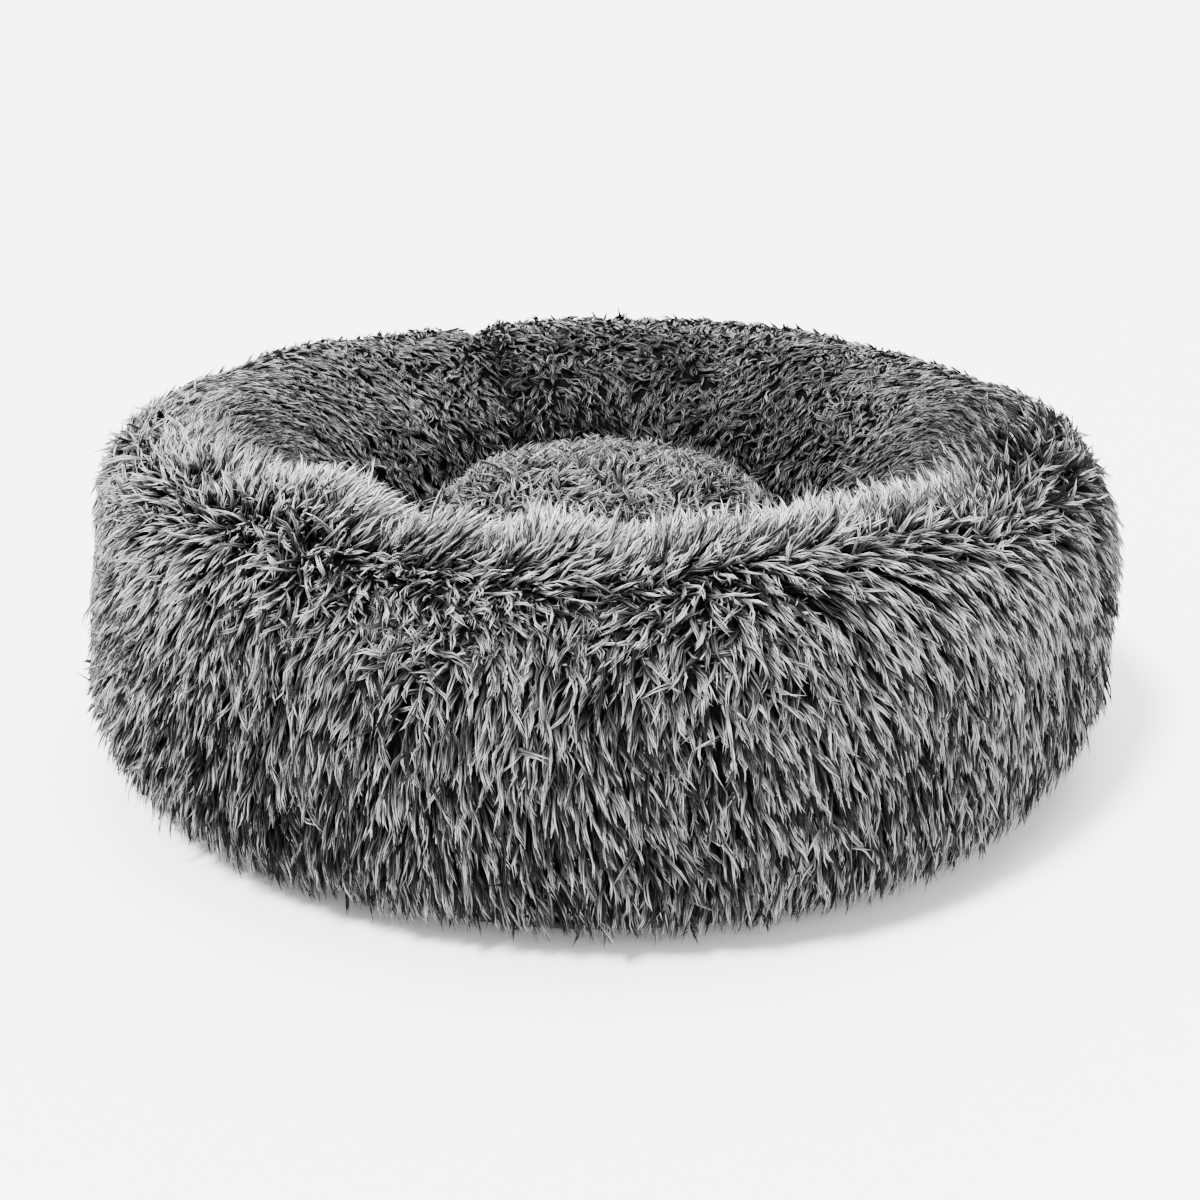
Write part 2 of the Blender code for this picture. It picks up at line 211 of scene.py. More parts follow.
def ring_lump(theta, s, plain):
    """How far the stuffed ring swells or dips along its normal."""
    degrees, rear, right = np.degrees(theta), np.sin(theta), np.cos(theta)
    d = 0.0045 * noise(plain, 0.12, 1) + 0.0020 * noise(plain, 0.045, 2)
    for seam, depth in zip(SEAMS, SEAM_DEPTHS):
        aside = np.radians(np.abs(turned(degrees, seam))) * RING.at(s)[:, 0]
        d -= depth * bell(aside, 0.010) * smooth(s, 0.10, 0.35)

    # Full shoulders at the back and the sides, and a little more at the left.
    back = smooth(rear, -0.5, 0.4) + 0.5 * smooth(np.abs(right), 0.7, 0.95)
    d += 0.0060 * np.minimum(back, 1) * window(s, 0.25, 0.40, CREST_S, CREST_S + 0.15)
    d += 0.0040 * smooth(-right, 0.45, 0.85) * window(s, 0.25, 0.40, CREST_S - 0.05, CREST_S + 0.08)
    # The hem is full at the front left and drawn in at the front right, and the wall above it
    # is full at the right.
    hem = smooth(0.30 - s, 0.0, 0.22) * smooth(-rear, -0.1, 0.5)
    d += hem * (0.0060 * smooth(-right, 0.35, 0.8) - 0.0015 * smooth(right, 0.25, 0.7))
    d += 0.0040 * smooth(right, 0.75, 0.97) * window(s, 0.0, 0.10, 0.18, 0.36)

    on_rim = bell((s - CREST_S - 0.03) * RING.length, 0.045)
    for place, depth, wide in PLEATS:
        d -= depth * on_rim * bell(np.radians(turned(degrees, place)) * CREST_R, wide)
    # Upright folds in the inner wall.
    inside = smooth(s, 0.60, 0.75) * smooth(1.02 - s, 0.0, 0.15)
    fold = noise(np.stack([right * 9.0, rear * 9.0, s * 1.2], 1), 1.0, 5)
    d -= 0.0080 * inside * np.clip(1 - np.abs(fold) * 3.2, 0, 1)
    return d * smooth(s, -0.05, 0.12)


def dome_lump(_theta, _s, plain):
    """How far the cushion swells or dips along its normal."""
    return 0.0040 * noise(plain, 0.08, 11) + 0.0018 * noise(plain, 0.03, 12)


def surface(line, lump, theta, s, lift=0.0):
    """World points of a lumpy surface of revolution, lift above its backing."""
    rz, n = line.at(s), line.normal(s)
    c, k = np.cos(theta), np.sin(theta)
    plain = np.stack([rz[:, 0] * c, rz[:, 0] * k, rz[:, 1]], 1)
    d = lump(theta, s, plain) + lift
    r, z = rz[:, 0] + d * n[:, 0], rz[:, 1] + d * n[:, 1]
    return np.stack([r * c, r * k, z], 1)


# ---------------------------------------------------------------- meshes


def mesh_object(name, points, corners, material, map_uv=None):
    """A smooth triangle or quad mesh from arrays."""
    mesh = bpy.data.meshes.new(name)
    count, sides = corners.shape
    mesh.vertices.add(len(points))
    mesh.vertices.foreach_set("co", np.ascontiguousarray(points, np.float32).ravel())
    mesh.loops.add(count * sides)
    mesh.loops.foreach_set("vertex_index", np.ascontiguousarray(corners, np.int32).ravel())
    mesh.polygons.add(count)
    mesh.polygons.foreach_set("loop_start", np.arange(0, count * sides, sides, dtype=np.int32))
    mesh.update(calc_edges=True)
    mesh.polygons.foreach_set("use_smooth", np.ones(count, bool))
    if map_uv is not None:
        layer = mesh.uv_layers.new(name="OFBake")
        corner_uv = np.ascontiguousarray(map_uv[corners.ravel()], np.float32)
        layer.data.foreach_set("uv", corner_uv.ravel())
    mesh.materials.append(material)
    mesh.validate()
    made = bpy.data.objects.new(name, mesh)
    bpy.context.scene.collection.objects.link(made)
    return made


def loft(rings, closed_run):
    """Quads between closed rows of points; rings is rows by points by 3."""
    rows, count = rings.shape[:2]
    index = np.arange(rows * count).reshape(rows, count)
    a = index if closed_run else index[:-1]
    b = np.roll(index, -1, 0) if closed_run else index[1:]
    return np.stack([a, np.roll(a, -1, 1), np.roll(b, -1, 1), b], -1).reshape(-1, 4)


def closed_up(name, rings, material, closed_run):
    """A lofted body; an open run gets a flat cap at each end."""
    made = mesh_object(name, rings.reshape(-1, 3), loft(rings, closed_run), material)
    if not closed_run:
        bm = bmesh.new()
        bm.from_mesh(made.data)
        bm.verts.ensure_lookup_table()
        count = rings.shape[1]
        bm.faces.new([bm.verts[i] for i in range(count)])
        bm.faces.new([bm.verts[len(bm.verts) - 1 - i] for i in range(count)])
        bmesh.ops.triangulate(bm, faces=bm.faces[-2:])
        bmesh.ops.recalc_face_normals(bm, faces=bm.faces)
        bm.to_mesh(made.data)
        bm.free()
    return made


def shell(name, line, lump, angles, outer, inner, material, closed_run, count=70):
    """A skin between two lifts of a lumpy surface, closed at its edges."""
    s = np.linspace(0, 1, count)
    rings = []
    for angle in angles:
        theta = np.full(count, angle)
        top = surface(line, lump, theta, s, outer)
        low = surface(line, lump, theta, s, inner)
        rings.append(np.concatenate([top, low[::-1]]))
    made = closed_up(name, np.array(rings), material, closed_run)
    facing_out(made)
    return made


def facing_out(made):
    """Merges doubled points, turns every face outwards and shades it smooth."""
    bm = bmesh.new()
    bm.from_mesh(made.data)
    bmesh.ops.remove_doubles(bm, verts=bm.verts, dist=1e-6)
    bmesh.ops.dissolve_degenerate(bm, edges=bm.edges, dist=1e-7)
    bmesh.ops.recalc_face_normals(bm, faces=bm.faces)
    bm.to_mesh(made.data)
    bm.free()
    for p in made.data.polygons:
        p.use_smooth = True


def swept(name, section, angles, material, closed_run, wave=(0.0, 0)):
    """A section in (r, z) swept round Z; wave is a ripple's depth and its count round the bed."""
    section = np.array(section, float)
    rings = []
    for angle in angles:
        r = section[:, 0] + wave[0] * math.sin(wave[1] * angle)
        rings.append(np.stack([r * math.cos(angle), r * math.sin(angle), section[:, 1]], 1))
    made = closed_up(name, np.array(rings), material, closed_run)
    facing_out(made)
    return made


# ---------------------------------------------------------------- materials


class Nodes:
    """Short calls for a material's nodes."""

    def __init__(self, name, roughness, metallic=0.0):
        self.material = bpy.data.materials.new(name)
        self.material.use_nodes = True
        self.tree = self.material.node_tree
        self.shader = self.tree.nodes["Principled BSDF"]
        self.shader.inputs["Roughness"].default_value = roughness
        self.shader.inputs["Metallic"].default_value = metallic

    def add(self, kind, **values):
        node = self.tree.nodes.new(kind)
        for key, value in values.items():
            setattr(node, key, value)
        return node

    def link(self, source, target):
        self.tree.links.new(source, target)

    def ramp(self, source, stops):
        node = self.add("ShaderNodeValToRGB")
        while len(node.color_ramp.elements) < len(stops):
            node.color_ramp.elements.new(0.5)
        for element, (at, level) in zip(node.color_ramp.elements, stops):
            element.position = at
            element.color = (*(level if hasattr(level, "__len__") else (level,) * 3), 1)
        self.link(source, node.inputs[0])
        return node.outputs[0]


# Ramps of the pile's colour, and where on a band of the map a strand's flank and ridge lie. The
# near-black roots are partly the fur's own darker roots and partly painted shade deep in the pile.
# The dark flanks and the pale ridge are painted shade and painted highlight across each strand.
ROOT_TO_TIP = [(0.0, 0.002), (0.32, 0.012), (0.58, 0.13), (0.79, 0.54), (1.0, 0.96)]
DARK_TO_PALE = [(0.0, 0.014), (0.30, 0.09), (0.60, 0.42), (0.80, 0.88), (1.0, 1.0)]
FLANK_U, RIDGE_U = 0.08, 0.92
FLANK_SHADE_TO_RIDGE_HIGHLIGHT = [(FLANK_U, 0.04), (0.45, 0.34), (RIDGE_U, 1.0)]


def fur_material():
    """Strands dark at the root, partly their own colour and partly painted shade deep in the pile,
    and pale at the tip. V of the map runs along a strand. U is cut into bands, one for each tone,
    and inside a band it runs from the flanks, in painted shade, to the ridge, which has a painted
    highlight."""
    n = Nodes("shag_pile", 0.80)
    place = n.add("ShaderNodeUVMap", uv_map="OFBake")
    split = n.add("ShaderNodeSeparateXYZ")
    n.link(place.outputs[0], split.inputs[0])
    bands = n.add("ShaderNodeMath", operation="MULTIPLY")
    bands.inputs[1].default_value = TONES
    n.link(split.outputs[0], bands.inputs[0])
    band = n.add("ShaderNodeMath", operation="FLOOR")
    n.link(bands.outputs[0], band.inputs[0])
    tone = n.add("ShaderNodeMath", operation="DIVIDE")
    tone.inputs[1].default_value = TONES
    n.link(band.outputs[0], tone.inputs[0])
    ridge = n.add("ShaderNodeMath", operation="FRACT")
    n.link(bands.outputs[0], ridge.inputs[0])
    # Dark roots: the fur's own, with painted shade deep in the pile.
    along = n.ramp(split.outputs[1], ROOT_TO_TIP)
    level = n.ramp(tone.outputs[0], DARK_TO_PALE)
    # Painted shade on each strand's flanks and a painted highlight on its ridge.
    side = n.ramp(ridge.outputs[0], FLANK_SHADE_TO_RIDGE_HIGHLIGHT)
    colour = along
    for factor in (level, side):
        mix = n.add("ShaderNodeMix", data_type="RGBA", blend_type="MULTIPLY")
        mix.inputs[0].default_value = 1.0
        n.link(colour, mix.inputs[6])
        n.link(factor, mix.inputs[7])
        colour = mix.outputs[2]
    n.link(colour, n.shader.inputs["Base Color"])
    n.shader.inputs["Specular IOR Level"].default_value = 0.06
    return n.material


def cloth_material(name, dark, pale, thread, roughness=0.9, bump=0.3, shine=0.5):
    """Woven cloth: two crossed bands of threads with a little uneven tone."""
    n = Nodes(name, roughness)
    n.shader.inputs["Specular IOR Level"].default_value = shine
    where = n.add("ShaderNodeTexCoord")
    threads = []
    for direction in ("X", "Y"):
        wave = n.add("ShaderNodeTexWave", wave_type="BANDS", bands_direction=direction)
        wave.inputs["Scale"].default_value = 0.5 / thread
        wave.inputs["Distortion"].default_value = 0.6
        n.link(where.outputs["Object"], wave.inputs["Vector"])
        threads.append(wave.outputs["Fac"])
    weave = n.add("ShaderNodeMath", operation="MULTIPLY")
    n.link(threads[0], weave.inputs[0])
    n.link(threads[1], weave.inputs[1])
    patch = n.add("ShaderNodeTexNoise")
    patch.inputs["Scale"].default_value = 90.0
    n.link(where.outputs["Object"], patch.inputs["Vector"])
    level = n.add("ShaderNodeMath", operation="MULTIPLY_ADD")
    level.inputs[1].default_value = 0.5
    n.link(weave.outputs[0], level.inputs[0])
    half = n.add("ShaderNodeMath", operation="MULTIPLY")
    half.inputs[1].default_value = 0.5
    n.link(patch.outputs["Fac"], half.inputs[0])
    n.link(half.outputs[0], level.inputs[2])
    n.link(n.ramp(level.outputs[0], [(0.1, dark), (0.9, pale)]), n.shader.inputs["Base Color"])
    rise = n.add("ShaderNodeBump")
    rise.inputs["Strength"].default_value = bump
    rise.inputs["Distance"].default_value = 0.0004
    n.link(weave.outputs[0], rise.inputs["Height"])
    n.link(rise.outputs[0], n.shader.inputs["Normal"])
    return n.material


def fibre_material(
    name, dark, pale, scale, roughness=0.95, metallic=0.0, bump=0.5, stretch=(1, 1, 1)
):
    """Felted, brushed or moulded surfaces: noise in the tone and the relief."""
    n = Nodes(name, roughness, metallic)
    where = n.add("ShaderNodeTexCoord")
    fit = n.add("ShaderNodeMapping")
    fit.inputs["Scale"].default_value = stretch
    n.link(where.outputs["Object"], fit.inputs["Vector"])
    grain = n.add("ShaderNodeTexNoise")
    grain.inputs["Scale"].default_value = scale
    grain.inputs["Detail"].default_value = 5.0
    n.link(fit.outputs[0], grain.inputs["Vector"])
    n.link(n.ramp(grain.outputs["Fac"], [(0.3, dark), (0.7, pale)]), n.shader.inputs["Base Color"])
    rise = n.add("ShaderNodeBump")
    rise.inputs["Strength"].default_value = bump
    rise.inputs["Distance"].default_value = 0.0006
    n.link(grain.outputs["Fac"], rise.inputs["Height"])
    n.link(rise.outputs[0], n.shader.inputs["Normal"])
    return n.material


PILE = fur_material()
# The backing is near black: painted shade in the gaps between the locks.
KNIT_IN_PAINTED_SHADE = cloth_material("fur_backing_knit_painted_shade", 0.0015, 0.004, 0.0012, roughness=1.0, shine=0.0)
OXFORD = cloth_material("oxford_cloth", 0.018, 0.055, 0.0007)
TAPE = cloth_material("woven_tape", 0.015, 0.045, 0.0005)
SATIN = cloth_material("satin_label", 0.66, 0.80, 0.0004, roughness=0.45, bump=0.15)
NONWOVEN = fibre_material("nonwoven_liner", (0.62, 0.62, 0.60), (0.82, 0.82, 0.80), 260.0)
FIBRE = fibre_material("polyester_fibre", (0.66, 0.66, 0.65), (0.92, 0.92, 0.91), 90.0)
NYLON = fibre_material("nylon_coil", 0.02, 0.05, 400.0, roughness=0.42, bump=0.1)
DOTS = fibre_material("grip_dots", 0.02, 0.035, 300.0, roughness=0.55, bump=0.2)
METAL = fibre_material("brushed_slider", 0.34, 0.52, 500.0, 0.32, 1.0, 0.08, stretch=(1, 1, 8))


# ---------------------------------------------------------------- the pile

ROOT_DEPTH = 0.002  # of a lock's root under the backing
STRAND_LENGTHS = (0.76, 1.08)  # shares of its lock's length
TIPS_MEET = 0.72  # the share of a strand's offset that is gone at its tip
STRAY = 0.0005  # how far a strand wanders at its tip
LOWEST = FLOOR_GAP + 0.0015  # strands level out at this height, from twice as high

# A strand's width by its share of length, and its cross-section: a ridge and two flanks,
# across and above, in half widths.
TAPER = ([0, 0.22, 0.50, 0.78, 1], [0.55, 1.0, 0.95, 0.62, 0.0])
SECTION = ((0.0, 0.85), (1.0, -0.35), (-1.0, -0.35))

# How locks lean along the ring, right being positive, by the cosine of their place: on top of
# the ring, at the parting, and on the wall.
LEAN_TOP = [(-1, -0.6), (-0.7, -0.35), (-0.45, 0.05), (-0.1, 0.3), (0.3, 0.5), (0.7, 0.85)]
LEAN_TOP += [(1, 0.6)]
LEAN_PARTING = [(-1, -0.6), (-0.68, -0.6), (-0.40, 0.6), (0.0, 1.0), (1, 0.9)]
LEAN_WALL = [(-1, -0.2), (-0.6, -0.55), (-0.3, -0.15), (0.05, 0.05), (0.35, 0.35), (0.7, 0.65)]
LEAN_WALL += [(1, 0.3)]


def roots(line, low, high, gap):
    """Jittered rows of root points: angle and share of the line for each lock."""
    thetas, shares = [], []
    rows = max(int(round((high - low) * line.length / gap)), 1)
    for row in range(rows):
        s = low + (high - low) * (row + 0.5) / rows
        around_ring = line.at(np.array([s]))[0, 0] * 2 * math.pi
        count = max(int(round(around_ring / gap)), 3)
        place = np.arange(count) + RNG.uniform(-0.45, 0.45, count) + 0.5 * (row % 2)
        thetas.append(place / count * 2 * math.pi)
        shares.append(s + RNG.uniform(-0.5, 0.5, count) * (high - low) / rows)
    return np.concatenate(thetas), np.clip(np.concatenate(shares), low, high)


def frames(line, lump, theta, s):
    """Root point, way up the section, way round and outward normal at each root."""
    e = 1.5e-3
    low, high = np.maximum(s - e, 0), np.minimum(s + e, 1)
    up = unit(surface(line, lump, theta, high) - surface(line, lump, theta, low))
    round_ = unit(surface(line, lump, theta + e, s) - surface(line, lump, theta - e, s))
    return surface(line, lump, theta, s), up, round_, unit(np.cross(round_, up))


def grow(k, droop, segments):
    """The centre line of each lock: it leaves near the normal and bends over to its comb."""
    normal, comb, count = k["normal"], k["comb"], len(k["root"])
    side = unit(np.cross(normal, comb))
    phase = RNG.uniform(0, 2 * math.pi, count)
    path = [k["root"] - normal * ROOT_DEPTH]
    for j in range(segments):
        u = (j + 0.5) / segments
        angle = k["start"] + (k["end"] - k["start"]) * u**0.7
        step = normal * np.cos(angle)[:, None] + comb * np.sin(angle)[:, None]
        step += side * (k["wave"] * np.sin(phase + 5.0 * u))[:, None]
        step[:, 2] -= droop * u
        path.append(path[-1] + unit(step) * (k["length"] / segments)[:, None])
    return np.stack(path, 1), side


def parted(path, side, comb, strands, spread):
    """Each lock's strands, close together at the tips and kept between floor and ceiling."""
    path, side, comb = (np.repeat(a, strands, 0) for a in (path, side, comb))
    count, rings = path.shape[:2]
    u = (np.arange(rings) / (rings - 1))[None, :, None]
    turn, out = RNG.uniform(0, 2 * math.pi, count), spread * np.sqrt(RNG.random(count))
    apart = side * (np.cos(turn) * out)[:, None] + comb * (np.sin(turn) * out)[:, None]
    size = RNG.uniform(*STRAND_LENGTHS, count)[:, None, None]
    root = path[:, :1]
    path = root + (path - root) * size + apart[:, None] * (1 - TIPS_MEET * u)
    path += RNG.normal(0, STRAY, path.shape) * u
    z = path[:, :, 2]
    z = np.where(z < LOWEST * 2, LOWEST + LOWEST * np.exp(z / LOWEST - 2), z)
    over = np.maximum(z - CEILING + CEILING_EASE, 0)
    path[:, :, 2] = z - over + CEILING_EASE * np.tanh(over / CEILING_EASE)
    return path, side


def tapered(path, side, width):
    """Closed strands with a ridge on top and two flanks, in arrays: points, triangles."""
    count, rings = path.shape[:2]
    last = rings - 1
    taper = np.interp(np.arange(last) / last, *TAPER)
    above = unit(np.cross(np.gradient(path, axis=1), side[:, None, :]))
    points = np.empty((count, last * 3 + 1, 3))
    for k in range(last):
        half = (width * 0.5 * taper[k])[:, None]
        for j, (flank, ridge) in enumerate(SECTION):
            points[:, k * 3 + j] = path[:, k] + side * half * flank + above[:, k] * half * ridge
    points[:, -1] = path[:, -1]
    points[:, :, 2] = np.maximum(points[:, :, 2], FLOOR_GAP)
    faces = [(0, 2, 1)]
    for k in range(last - 1):
        for j in range(3):
            a, b = k * 3 + j, k * 3 + (j + 1) % 3
            faces += [(a, b, b + 3), (a, b + 3, a + 3)]
    top = (last - 1) * 3
    faces += [(top + j, top + (j + 1) % 3, last * 3) for j in range(3)]
    step = np.arange(count)[:, None, None] * (last * 3 + 1)
    return points, (np.array(faces)[None] + step).reshape(-1, 3)


def tone_map(count, per_strand, last, tone, root, tip):
    """U: the band of the strand's tone, and in it flank to ridge. V: from root to tip."""
    band = np.floor(np.clip(tone, 0, 0.999) * TONES)
    uv = np.empty((count, per_strand, 2))
    for k in range(last):
        for j, place in enumerate((RIDGE_U, FLANK_U, FLANK_U)):
            uv[:, k * 3 + j, 0] = (band + place) / TONES
            uv[:, k * 3 + j, 1] = root + (tip - root) * k / last
    uv[:, -1, 0], uv[:, -1, 1] = (band + 0.5) / TONES, tip
    return uv.reshape(-1, 2)


def pile(name, body, which, droop, segments, locks, strands=4, spread=0.0017):
    """One piece of pile from the chosen locks."""
    k = {key: value[which] for key, value in locks.items()}
    path, side = grow(k, droop, segments)
    path, side = parted(path, side, k["comb"], strands, spread)
    k = {key: np.repeat(value, strands, 0) for key, value in k.items()}
    points, faces = tapered(path, side, k["width"] * RNG.uniform(0.75, 1.25, len(side)))
    tone = k["tone"] + RNG.normal(0, 0.12, len(side))
    uv = tone_map(len(side), points.shape[1], segments, tone, k["dark"], k["pale"])
    made = mesh_object(name, points.reshape(-1, 3), faces, PILE, uv)
    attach(made, body)


def by_sector(degrees, name, body, droop, segments, locks, **strands):
    """Pieces of pile for the two fur panels, one for each sector that has locks."""
    for panel, seam, steps in (("back", SEAMS[0], 9), ("front", SEAMS[1], 15)):
        turn = (degrees - seam) % 360
        for k in range(steps):
            which = (turn >= k * SECTOR) & (turn < (k + 1) * SECTOR)
            if which.any():
                made_name = f"bolster_{panel}_{name}_{k + 1:02d}"
                pile(made_name, body, which, droop, segments, locks, **strands)


def blend_along(x, stops):
    """The value at x on straight lines between (place, value) stops."""
    return np.interp(x, *zip(*stops))


def tangled(comb, up, round_, amount):
    """The comb with each lock turned a little, and more where the comb gives no clear way."""
    loose = np.clip(1 - np.linalg.norm(comb, axis=1), 0, 1)
    for axis in (up, round_):
        comb = comb + axis * (RNG.normal(0, 1, len(comb)) * (amount + 0.8 * loose))[:, None]
    return comb, loose


def laid(comb, normal):
    """The comb's direction within the surface."""
    return unit(comb - normal * (comb * normal).sum(1)[:, None])


def ring_comb(p, up, round_, normal, theta, s):
    """Which way the locks lie: up to the well above a parting on the shoulder, down below it.
    It also returns the zones of the pile that it works with, each as a share from 0 to 1."""
    right, near_side = np.cos(theta), -np.sin(theta)
    front = smooth(near_side, -0.3, 0.35)
    left = smooth(-right, 0.45, 0.85) * front
    centre = smooth(near_side, 0.35, 0.80)
    inner = smooth(s, CREST_S - 0.04 + 0.07 * centre, CREST_S + 0.06 + 0.08 * centre)

    circle = np.stack([right, -near_side, s * 0], 1)
    parting = CREST_S - 0.120 + 0.065 * front
    parting += 0.030 * noise(circle, 0.30, 21) + 0.025 * noise(p, 0.030, 23)
    below = (parting - s) * RING.length + RNG.normal(0, 0.009, len(s))
    drop = smooth(below, -0.026, 0.030)
    near = bell(below, 0.015)

    wall = blend_along(right, LEAN_WALL) * (1 - 0.75 * smooth(below, 0.02, 0.10))
    lean = np.where(below < 0, blend_along(right, LEAN_TOP), wall)
    lean = lean * (1 - near) + blend_along(right, LEAN_PARTING) * near
    lean = lean * front + 0.35 * noise(p, 0.085, 22)

    tangle = bell(right + 0.22, 0.42) * bell(below - 0.030, 0.028) * front
    comb = up * (1 - 2 * drop)[:, None] + round_ * lean[:, None]
    rough = 0.30 + 0.25 * near + 1.0 * tangle + 0.9 * inner + 0.45 * left
    for axis, seed in ((up, 31), (round_, 32)):
        swirl = noise(p, 0.024, seed) * 0.9 + noise(p, 0.010, seed + 10) * 0.6
        comb = comb + axis * (swirl * rough)[:, None]
    comb, loose = tangled(comb, up, round_, 0.10 + 0.12 * rough)
    zone = {"inner": inner, "near": near, "tangle": tangle, "loose": loose}
    return laid(comb, normal), zone | {"left": left, "front": front, "centre": centre}


def ring_tones(p, theta, s, zone):
    """How pale each lock is: pale and dark ones mixed at random, then given painted light and
    painted shade by where they stand.
    """
    inner, front, lit, shoulder = (zone[k] for k in ("inner", "front", "lit", "shoulder"))
    outer, far, unlit = 1 - inner, 1 - front, 1 - lit
    right, degrees, count = np.cos(theta), np.degrees(theta), len(s)
    # Pale and dark locks mixed at random, with more pale ones in the lit band as a painted
    # highlight.
    kind = np.where(RNG.random(count) < 0.56 + 0.44 * lit, 1, -1)
    tone = 0.63 + (0.25 - 0.11 * shoulder) * kind + RNG.normal(0, 0.12, count)
    tone += 0.10 * noise(p, 0.03, 41)

    # The wall and the rim: a painted highlight on the lit band, painted shade on the near rim
    # outside it and at the foot, and painted light on the left, and a little on the right and the
    # far left, where the light falls.
    tone += 0.34 * lit - 0.20 * zone["near_rim"] * unlit - 0.28 * smooth(0.36 - s, 0.0, 0.30)
    tone += 0.23 * zone["left"] * (1 - smooth(s, CREST_S - 0.02, CREST_S + 0.06))
    tone += 0.08 * smooth(right, 0.3, 0.7) * front + 0.03 * smooth(-right, 0.2, 0.7) * far
    # The inner wall: a darker mix, as painted shade in the well, with painted light at its two
    # sides.
    mix = 0.46 + 0.12 * noise(p, 0.03, 42) + RNG.normal(0, 0.07, count)
    tone = tone * outer + mix * inner
    tone += inner * far * (0.08 * smooth(right, 0.2, 0.7) + 0.16 * smooth(-right, 0.2, 0.7))
    # Painted shade: low on the left, deep in the well, on the far inner wall, beside the right seam
    # and in the creases of both seams.
    tone -= 0.16 * smooth(0.42 - s, 0.0, 0.30) * smooth(-right, 0.25, 0.6) * front
    tone -= 0.30 * smooth(s, 0.88, 0.98) + 0.16 * smooth(s, CREST_S + 0.08, CREST_S + 0.30) * far
    painted_shade_right_rim = bell(turned(degrees, -12.0), 28) * smooth(s, CREST_S - 0.20, CREST_S - 0.08)
    tone -= 0.32 * painted_shade_right_rim * outer
    for seam in SEAMS:
        aside = np.radians(turned(degrees, seam)) * np.hypot(p[:, 0], p[:, 1])
        tone -= 0.45 * bell(aside, 0.008)
    # Painted shade on the shoulder away from the lit band.
    return tone - 0.04 * shoulder * unlit * outer


def ring_pile():
    """The long locks over both fur panels, in sectors."""
    rows = ((0.0, 0.90, LOCK_GAP), (0.90, 1.0, LOCK_GAP * 1.35))
    found = [roots(RING, *row) for row in rows]
    theta, s = (np.concatenate(values) for values in zip(*found))
    p, up, round_, normal = frames(RING, ring_lump, theta, s)
    degrees, count = np.degrees(theta) % 360, len(theta)
    comb, zone = ring_comb(p, up, round_, normal, theta, s)
    inner, front, left, tangle = (zone[k] for k in ("inner", "front", "left", "tangle"))
    far = 1 - front

    # The near rim, the band on it that catches the light and gets a painted highlight, the back rim
    # and the near shoulder.
    near_rim = bell((s - CREST_S - 0.01) * RING.length, 0.026) * front
    past = (s - CREST_S) * RING.length - 0.0150
    lit = bell(past, np.where(past > 0, 0.0105, 0.0190))
    lit *= np.maximum(zone["centre"], 0.25 * front)
    back_rim = far * smooth(s, CREST_S - 0.25, CREST_S - 0.10) * (1 - inner)
    shoulder = np.maximum(near_rim, 0.85 * smooth(s, 0.42, 0.58) * front)
    zone |= {"near_rim": near_rim, "lit": lit, "shoulder": shoulder}

    # Degrees from the normal at the root and at the tip. Locks stand up along the parting and
    # at the left, and lie flat over the zip.
    loose = smooth(s, 0.22, 0.40) * zone["loose"] * front
    near = zone["near"] * front
    toward = left * smooth(-np.sin(theta), 0.25, 0.60)
    at_zip = (degrees > ZIP_FROM - 5) & (degrees < ZIP_TO + 5)
    over_zip = smooth(0.09 - s, 0.0, 0.02) * at_zip
    start = 48 - 24 * near_rim + 18 * back_rim - 6 * inner - 12 * loose - 10 * near
    start += RNG.normal(0, 8, count) - 14 * toward
    end = 90 - 36 * near_rim + 6 * back_rim - 16 * inner - 22 * loose - 22 * near
    end += RNG.normal(0, 6, count) - 10 * smooth(0.16 - s, 0.0, 0.12) - 30 * toward
    end -= 36 * over_zip

    length = 0.0235 - 0.0070 * inner - 0.0060 * back_rim - 0.0020 * left
    length += 0.008 * smooth(0.12 - s, 0.0, 0.12) + RNG.normal(0, 0.0028, count)
    length -= 0.0050 * tangle + 0.0030 * near + 0.017 * over_zip
    width = 0.00120 - 0.0001 * inner + RNG.normal(0, 0.0002, count)
    wave = 0.22 + 0.50 * inner + 0.45 * tangle + 0.2 * left + RNG.normal(0, 0.10, count)
    soft = np.maximum(inner, 0.7 * far * smooth(s, CREST_S - 0.12, CREST_S - 0.04))
    # Painted highlight: in the lit band, and less on the shoulder, strands start further along the
    # root-to-tip ramp and so show paler.
    dark = 0.60 * lit + 0.28 * shoulder * (1 - lit)
    locks = {
        "root": p,
        "normal": normal,
        "comb": comb,
        "length": np.clip(length, 0.007, 0.034),
        "width": np.clip(width, 0.0007, 0.0024),
        "start": np.radians(start),
        "end": np.radians(end),
        "wave": wave,
        "tone": ring_tones(p, theta, s, zone),
        # Painted light: the left shows a little more of its pale tips.
        "dark": 0.45 * soft + dark * (1 - soft) + 0.08 * left,
        "pale": 1 - 0.24 * soft,
    }
    by_sector(degrees, "pile", "bed", 0.25, 4, locks)


